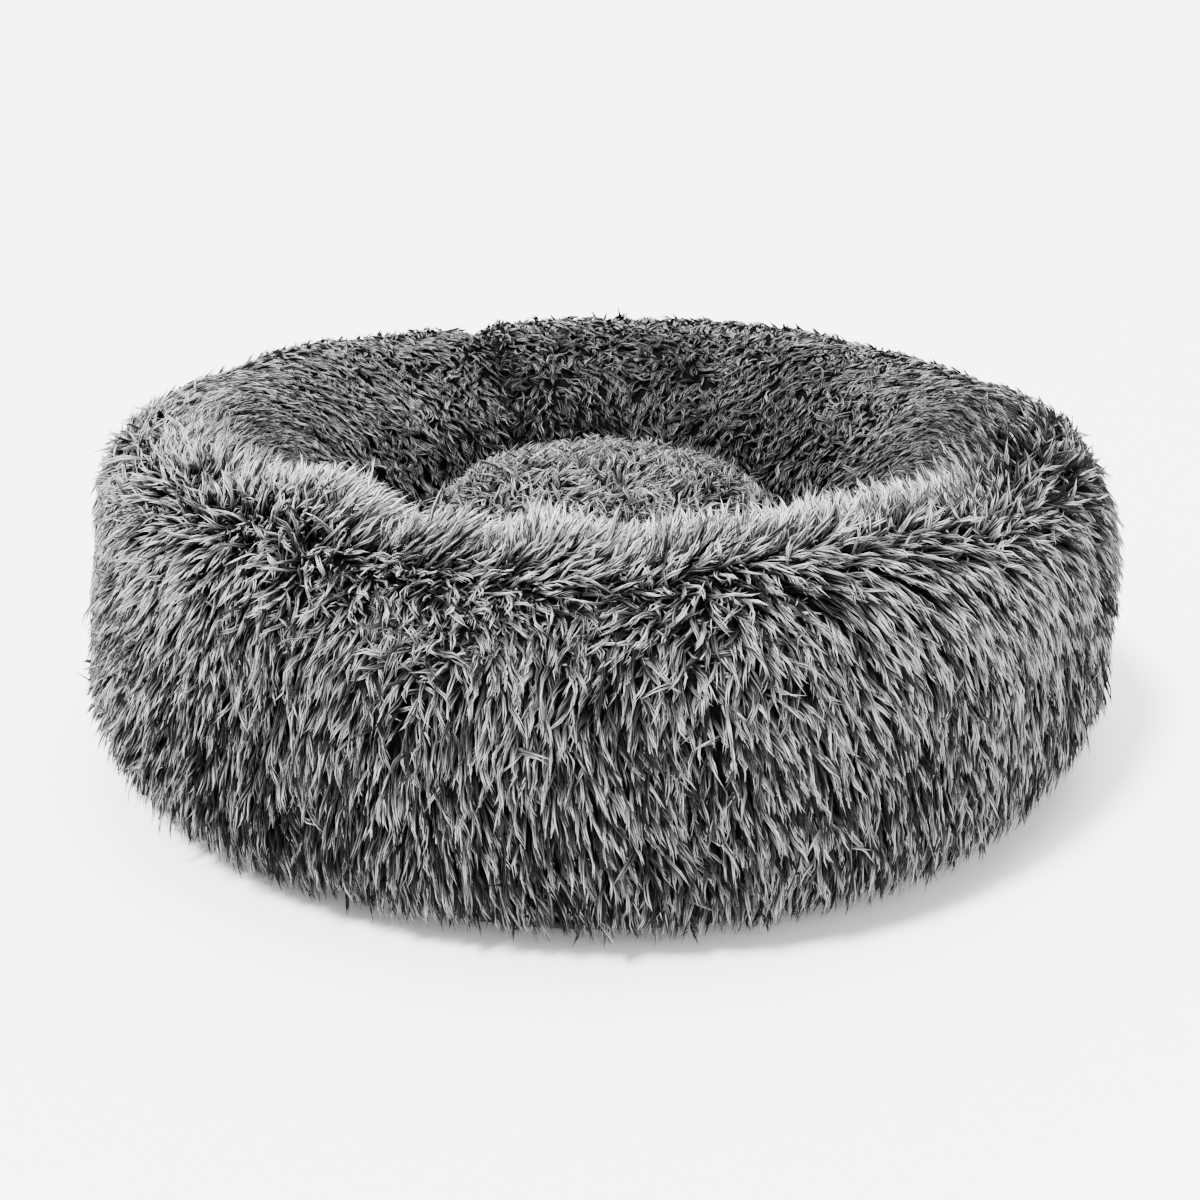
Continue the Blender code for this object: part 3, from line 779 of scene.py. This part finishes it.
def ring_underfur():
    """Short hairs that cover the backing along the parting and the near rim."""
    theta, s = roots(RING, 0.30, CREST_S + 0.16, SHORT_GAP)
    p, up, round_, normal = frames(RING, ring_lump, theta, s)
    zone = ring_comb(p, up, round_, normal, theta, s)[1]
    rim = bell((s - CREST_S - 0.05) * RING.length, 0.024) * zone["centre"]
    bare = zone["near"] + zone["loose"] + zone["tangle"] > 0.35
    keep = (bare & (zone["front"] > 0.3) & (s < CREST_S + 0.04)) | (rim > 0.35)
    p, up, round_, normal, theta, rim = (a[keep] for a in (p, up, round_, normal, theta, rim))
    count = len(p)
    way = RNG.uniform(0, 2 * math.pi, count)
    flat = np.ones(count)
    locks = {
        "root": p,
        "normal": normal,
        "comb": up * np.cos(way)[:, None] + round_ * np.sin(way)[:, None],
        "length": RNG.uniform(0.007, 0.012, count),
        "width": RNG.uniform(0.0014, 0.0022, count),
        "start": flat * 0.5,
        "end": flat * 1.5,
        "wave": flat * 0.5,
        # Painted highlight: the underfur is paler on the near rim, where the light falls.
        "tone": RNG.uniform(0.20, 0.75, count) + 0.3 * rim,
        "dark": 0.25 + 0.35 * rim,
        "pale": flat * 0.9,
    }
    by_sector(np.degrees(theta) % 360, "underfur", "bed", 0.1, 3, locks, strands=1)


def dome_pile():
    """Shorter, fluffier locks over the cushion, down its sides and across its top."""
    theta, s = roots(DOME, 0.0, 0.985, SHORT_GAP)
    p, up, round_, normal = frames(DOME, dome_lump, theta, s)
    count = len(theta)
    across_top = np.tile((0.45, 0.85, 0.0), (count, 1)) * smooth(s, 0.45, 0.8)[:, None]
    comb = across_top - up * (1 - smooth(s, 0.35, 0.75))[:, None]
    for axis, seed in ((up, 51), (round_, 52)):
        swirl = noise(p, 0.022, seed) * 0.9 + noise(p, 0.009, seed + 10) * 0.8
        comb = comb + axis * swirl[:, None]
    comb, loose = tangled(comb, up, round_, 0.35)
    # Uneven tone, with painted shade low on the cushion's sides.
    tone_and_painted_shade = 0.15 * noise(p, 0.03, 53) - 0.3 * smooth(0.4 - s, 0, 0.3)
    locks = {
        "root": p,
        "normal": normal,
        "comb": laid(comb, normal),
        "length": np.clip(0.0170 + RNG.normal(0, 0.0025, count), 0.008, 0.025),
        "width": np.clip(0.0013 + RNG.normal(0, 0.0002, count), 0.0009, 0.0024),
        "start": np.radians(26 - 8 * loose + RNG.normal(0, 8, count)),
        "end": np.radians(80 - 12 * loose + RNG.normal(0, 8, count)),
        "wave": 0.65 + RNG.normal(0, 0.2, count),
        "tone": 0.62 + tone_and_painted_shade + RNG.normal(0, 0.16, count),
        "dark": np.full(count, 0.22),
        "pale": np.full(count, 0.92),
    }
    quadrant = np.floor(np.degrees(theta) % 360 / 90)
    for k in range(4):
        name = f"cushion_pile_{k + 1:02d}"
        pile(name, "cushion", quadrant == k, 0.1, 4, locks, strands=3, spread=0.0015)


# ---------------------------------------------------------------- stuffed and cloth pieces


def around(first, last, step=1.5):
    """Even angles in radians from first to last, in degrees."""
    count = int(round((last - first) / step))
    return np.radians(np.linspace(first, last, count + 1))


def finish_piece(made, body, slot, *nodes):
    """Its body and the CAD nodes that it replaces. The slot argument is not used."""
    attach(made, body)
    if nodes:
        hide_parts(*nodes)


def tube_rings(lift, angles, count=90):
    """Closed sections of the whole ring tube, with its flat underside, lift above the backing."""
    s = np.linspace(0, 1, count)
    rings = []
    for angle in angles:
        theta = np.full(count, angle)
        arch = surface(RING, ring_lump, theta, s, lift)
        c, k = math.cos(angle), math.sin(angle)
        floor = TUBE_FLOOR_Z - lift * 0.4
        edge = max(-lift, 0.0)
        middle = (WELL_R + GUSSET_LOW[0]) / 2
        under = [(r, floor) for r in (WELL_R + edge, middle, GUSSET_LOW[0] - edge * 1.3)]
        under += [(GUSSET_HIGH[0] - edge * 1.6, GUSSET_HIGH[1])]
        rings.append(np.concatenate([arch, [(r * c, r * k, z) for r, z in under]]))
    return np.array(rings)


def ring_body():
    """The ring's two backings, which meet at the seams, and its liner and fill."""
    gap = math.degrees(0.0002 / CREST_R)
    for panel, first, last in (("back", SEAMS[0], SEAMS[1]), ("front", SEAMS[1], SEAMS[0] + 360)):
        angles = around(first + gap, last - gap)
        name = f"bolster_{panel}_backing"
        made = shell(name, RING, ring_lump, angles, 0.0, -BACKING, KNIT_IN_PAINTED_SHADE, False)
        finish_piece(made, "bed", "grey_shag_fur", f"bolster_fur_panel_{panel}")
    full = around(0, 360, 2.5)[:-1]
    for name, lift, material, slot in (
        ("bolster_fibre_fill", -0.0052, FIBRE, "polyester_fibre"),
        ("bolster_liner", -0.0034, NONWOVEN, "white_nonwoven"),
    ):
        rings = tube_rings(lift, full)
        if name == "bolster_liner":
            inside = tube_rings(lift - 0.0008, full)
            rings = np.concatenate([np.roll(rings, 2, 1), np.roll(inside, 2, 1)[:, ::-1]], 1)
        made = closed_up(name + "_soft", rings, material, True)
        facing_out(made)
        finish_piece(made, "bed", slot, name)


def cushion_body():
    """The cushion's backing, its underside, its liner and its fill."""
    full = around(0, 360, 3.0)[:-1]
    made = shell("cushion_top_backing", DOME, dome_lump, full, 0.0, -BACKING, KNIT_IN_PAINTED_SHADE, True, 60)
    finish_piece(made, "cushion", "grey_shag_fur", "cushion_fur_top")
    seam_r, seam_z = DOME.at(np.array([0.0]))[0]
    out, rise = seam_r - CUSHION_FLAT_R, seam_z - CUSHION_FLOOR_Z
    low = [(CUSHION_FLAT_R * t, CUSHION_FLOOR_Z) for t in (0.0, 0.5, 1.0)]
    low += [(CUSHION_FLAT_R + out * t, CUSHION_FLOOR_Z + rise * t**1.6) for t in (0.3, 0.6, 0.85)]
    edge, thick = [(seam_r - 0.0008, seam_z - 0.0006)], 0.0007
    section = low + edge + [(r, z + thick) for r, z in low[::-1]]
    made = swept("cushion_underside_cloth", section, full, OXFORD, True)
    finish_piece(made, "cushion", "dark_oxford_cloth", "cushion_underside")
    count, wall = 60, 0.0006
    s = np.linspace(0, 1, count)
    for name, lift, material, slot in (
        ("cushion_fibre_fill", -0.0045, FIBRE, "polyester_fibre"),
        ("cushion_liner", -0.0025, NONWOVEN, "white_nonwoven"),
    ):
        rings = []
        for angle in full:
            c, k = math.cos(angle), math.sin(angle)
            arch = surface(DOME, dome_lump, np.full(count, angle), s, lift)
            floor = CUSHION_FLOOR_Z - lift * 0.6
            under = [(r * c, r * k, floor) for r in (0.008, CUSHION_FLAT_R * 0.5, CUSHION_FLAT_R)]
            line = np.concatenate([under, arch])
            if name == "cushion_liner":
                inner = line - np.array([c * wall, k * wall, 0.0])
                inner[:3, 2] += wall
                inner[3:, 2] -= wall
                inner[-1, :2] = line[-1, :2]
                line = np.concatenate([line, inner[::-1]])
            else:
                line[0, :2] = 0.0
            rings.append(line)
        made = closed_up(name + "_soft", np.array(rings), material, True)
        facing_out(made)
        finish_piece(made, "cushion", slot, name)


def across(along, out):
    """(r, z) on the gusset's section: along its slope from the middle, and out from the cloth."""
    (r0, z0), (r1, z1) = GUSSET_LOW, GUSSET_HIGH
    length = math.hypot(r1 - r0, z1 - z0)
    ur, uz = (r1 - r0) / length, (z1 - z0) / length
    return (r0 + r1) / 2 + ur * along + uz * out, (z0 + z1) / 2 + uz * along - ur * out


def band(half, *edges):
    """A cloth's section along the gusset: out by half its thickness, and back inside."""
    return [across(a, half) for a in edges] + [across(a, -half) for a in edges[::-1]]


def grip_dots(rim):
    """Moulded dots in staggered rows under the base."""
    pitch, radius, sides, rows = 0.015, 0.0022, 8, range(-17, 18)
    angle = np.arange(sides) * 2 * math.pi / sides
    circle = np.stack([np.cos(angle), np.sin(angle)], 1)
    level = [(0.55, 0.0), (0.95, 0.0003), (1.0, 0.0010)]
    points = [
        np.concatenate([circle * radius * k, np.full((sides, 1), z)], 1) for k, z in level
    ]
    dot = np.concatenate(points + [[(0, 0, 0.0)], [(0, 0, 0.0010)]])
    low_hub, high_hub = 3 * sides, 3 * sides + 1
    faces = []
    for i in range(sides):
        j = (i + 1) % sides
        faces.append((i, low_hub, j))
        for a, b in ((0, sides), (sides, 2 * sides)):
            faces += [(a + i, a + j, b + j), (a + i, b + j, b + i)]
        faces.append((2 * sides + i, 2 * sides + j, high_hub))
    grid = [((k + 0.5 * (row % 2)) * pitch, row * pitch * 0.866) for row in rows for k in rows]
    centres = np.array([(x, y, 0.0) for x, y in grid if math.hypot(x, y) < rim - 0.008])
    step = np.arange(len(centres))[:, None, None] * len(dot)
    every = (dot[None] + centres[:, None]).reshape(-1, 3)
    corners = (np.array(faces)[None] + step).reshape(-1, 3)
    finish_piece(mesh_object("base_grip_dots", every, corners, DOTS), "bed", "dark_oxford_cloth")


def base_pieces():
    """The base sheet and its dots, the bound seam, the gusset, and the zip's tapes and coils."""
    full = around(0, 360, 3.0)[:-1]
    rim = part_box("base_sheet")[1].x
    section = [(0.0, 0.0008), (0.10, 0.0008), (rim - 0.0004, 0.0008), (rim, 0.0011)]
    section += [(rim - 0.0004, 0.0014), (0.10, 0.0014), (0.0, 0.0014)]
    made = swept("base_oxford_sheet", section, full, OXFORD, True)
    finish_piece(made, "bed", "dark_oxford_cloth", "base_sheet")
    grip_dots(rim)

    low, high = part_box("base_seam_binding")
    outer, inner = high.x, high.x - 0.0029
    section = [(inner, low.z + 0.0003), (inner + 0.0012, low.z)]
    section += [(outer - 0.0006, low.z + 0.0003), (outer, low.z + 0.0015)]
    section += [(outer - 0.0006, high.z - 0.0004), (inner + 0.0012, high.z)]
    section += [(inner, high.z - 0.0006)]
    made = swept("base_bound_seam", section, full, TAPE, True, (0.00015, 61))
    finish_piece(made, "bed", "binding_tape", "base_seam_binding")

    half, thin = math.dist(GUSSET_LOW, GUSSET_HIGH) / 2, 0.0003
    section = band(thin, *np.linspace(-(half - 0.0008), half - 0.0002, 7))
    angles = around(ZIP_TO + 0.1, ZIP_FROM + 359.9)
    made = swept("base_gusset_cloth", section, angles, OXFORD, False, (0.0003, 23))
    finish_piece(made, "bed", "dark_oxford_cloth", "base_gusset_band")

    angles = around(ZIP_FROM + 0.1, ZIP_TO - 0.1)
    for side, name in ((-1, "lower"), (1, "upper")):
        section = band(thin, *np.linspace(side * 0.0006, side * (half - 0.0016), 5))
        made = swept(f"zip_tape_{name}_woven", section, angles, TAPE, False)
        finish_piece(made, "bed", "zip_tape", f"zip_tape_{name}")
        coil(side, name)
    label()


def coil(side, name):
    """A nylon spiral along one tape's edge."""
    turns, per_turn, sides, radius, thick = 205, 9, 5, 0.00066, 0.00030
    count = turns * per_turn + 1
    t = np.linspace(0, 1, count)
    angle = np.radians(ZIP_FROM + 1.3 + (ZIP_TO - ZIP_FROM - 2.6) * t)
    c, s = np.cos(angle), np.sin(angle)
    phase = (t * turns * 2 * math.pi * side)[:, None]
    (ra, za), (rb, zb) = across(1.0, 0.0), across(0.0, 0.0)
    along, out = np.array([ra - rb, za - zb]), np.array([za - zb, rb - ra])
    axis = np.array(across(side * 0.0016, 0.0015))
    centre = axis + radius * (np.cos(phase) * along + np.sin(phase) * out)
    path = np.stack([centre[:, 0] * c, centre[:, 0] * s, centre[:, 1]], 1)
    way = unit(np.gradient(path, axis=0))
    u = unit(np.cross(way, np.stack([c * out[0], s * out[0], np.full(count, out[1])], 1)))
    v = np.cross(way, u)
    k = (np.arange(sides) * 2 * math.pi / sides)[None, :, None]
    rings = path[:, None] + thick * (np.cos(k) * u[:, None] + np.sin(k) * v[:, None])
    made = closed_up(f"zip_coil_{name}_spiral", rings, NYLON, False)
    finish_piece(made, "bed", "nylon_coil", f"zip_coil_{name}")


def label():
    """A strip folded in half, its fold at the bottom."""
    low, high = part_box("care_label")
    r, half, turn_up = 0.26105, 0.00045, 0.0004
    drop = high.z - low.z - 0.0006
    front = [(r + half, high.z - drop * t) for t in np.linspace(0, 1, 7)]
    fold = [(r + 0.00030, low.z + 0.0001), (r, low.z), (r - 0.00030, low.z + 0.0001)]
    outside = front + fold + [(r - half, z) for _, z in front[::-1]]
    inside = [
        (r - (r - a) * 0.35, z + (turn_up if z < low.z + turn_up else 0.0))
        for a, z in outside[::-1]
    ]
    made = swept("care_label_folded", outside + inside, around(29.5, 37.0, 0.75), SATIN, False)
    finish_piece(made, "bed", "satin_label", "care_label")


def kept_metal():
    """The slider, tab and stops keep their CAD shape and get a brushed finish."""
    for node in ("zip_slider", "zip_pull_tab", "zip_stop_closed", "zip_stop_open"):
        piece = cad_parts[node]
        piece.data.materials.clear()
        piece.data.materials.append(METAL)


# ---------------------------------------------------------------- room, light and camera


def room():
    """A pale floor, a white surround and three lights aimed at the bed."""
    floor = Nodes("floor", 0.9)
    floor.shader.inputs["Base Color"].default_value = (0.88, 0.88, 0.88, 1)
    bpy.ops.mesh.primitive_plane_add(size=80, location=(0, 0, 0))
    plane = bpy.context.object
    plane.name = "floor"
    plane.data.materials.append(floor.material)

    world = bpy.data.worlds.new("studio")
    bpy.context.scene.world = world
    world.use_nodes = True
    surround = world.node_tree.nodes["Background"]
    surround.inputs["Color"].default_value = (1, 1, 1, 1)
    surround.inputs["Strength"].default_value = 2.1

    for name, kind, place, size, power in (
        ("key", "SUN", (-0.95, -0.85, 2.2), 0.20, 15.5),
        ("top", "SUN", (0.15, 0.20, 2.4), 0.60, 5.5),
        ("fill", "AREA", (1.3, -1.9, 1.3), 1.40, 32.0),
    ):
        data = bpy.data.lights.new(name, kind)
        data.energy = power
        if kind == "SUN":
            data.angle = size
        else:
            data.size = size
        lamp = bpy.data.objects.new(name, data)
        lamp.location = place
        lamp.rotation_mode = "QUATERNION"
        way = Vector((0, 0, 0.1)) - Vector(place)
        lamp.rotation_quaternion = way.to_track_quat("-Z", "Y")
        bpy.context.scene.collection.objects.link(lamp)


# Metres and degrees from the aim, millimetres of lens, and shares of the frame's width.
DISTANCE, ELEVATION, AIM_Z = 0.97, 21.4, 0.08
LENS, SENSOR, SHIFT_X, SHIFT_Y = 48.84, 36, -1 / 300, -1 / 75


def camera():
    """The photograph's view: from the front, a little above the bed."""
    data = bpy.data.cameras.new("camera")
    view = bpy.data.objects.new("camera", data)
    bpy.context.scene.collection.objects.link(view)
    e = math.radians(ELEVATION)
    aim = Vector((0, 0, AIM_Z))
    view.location = aim + Vector((0, -math.cos(e), math.sin(e))) * DISTANCE
    view.rotation_mode = "QUATERNION"
    view.rotation_quaternion = (aim - view.location).to_track_quat("-Z", "Y")
    data.sensor_width, data.lens = SENSOR, LENS
    data.shift_x, data.shift_y = SHIFT_X, SHIFT_Y
    bpy.context.scene.camera = view


ring_body()
cushion_body()
base_pieces()
kept_metal()
ring_pile()
ring_underfur()
dome_pile()
room()
camera()
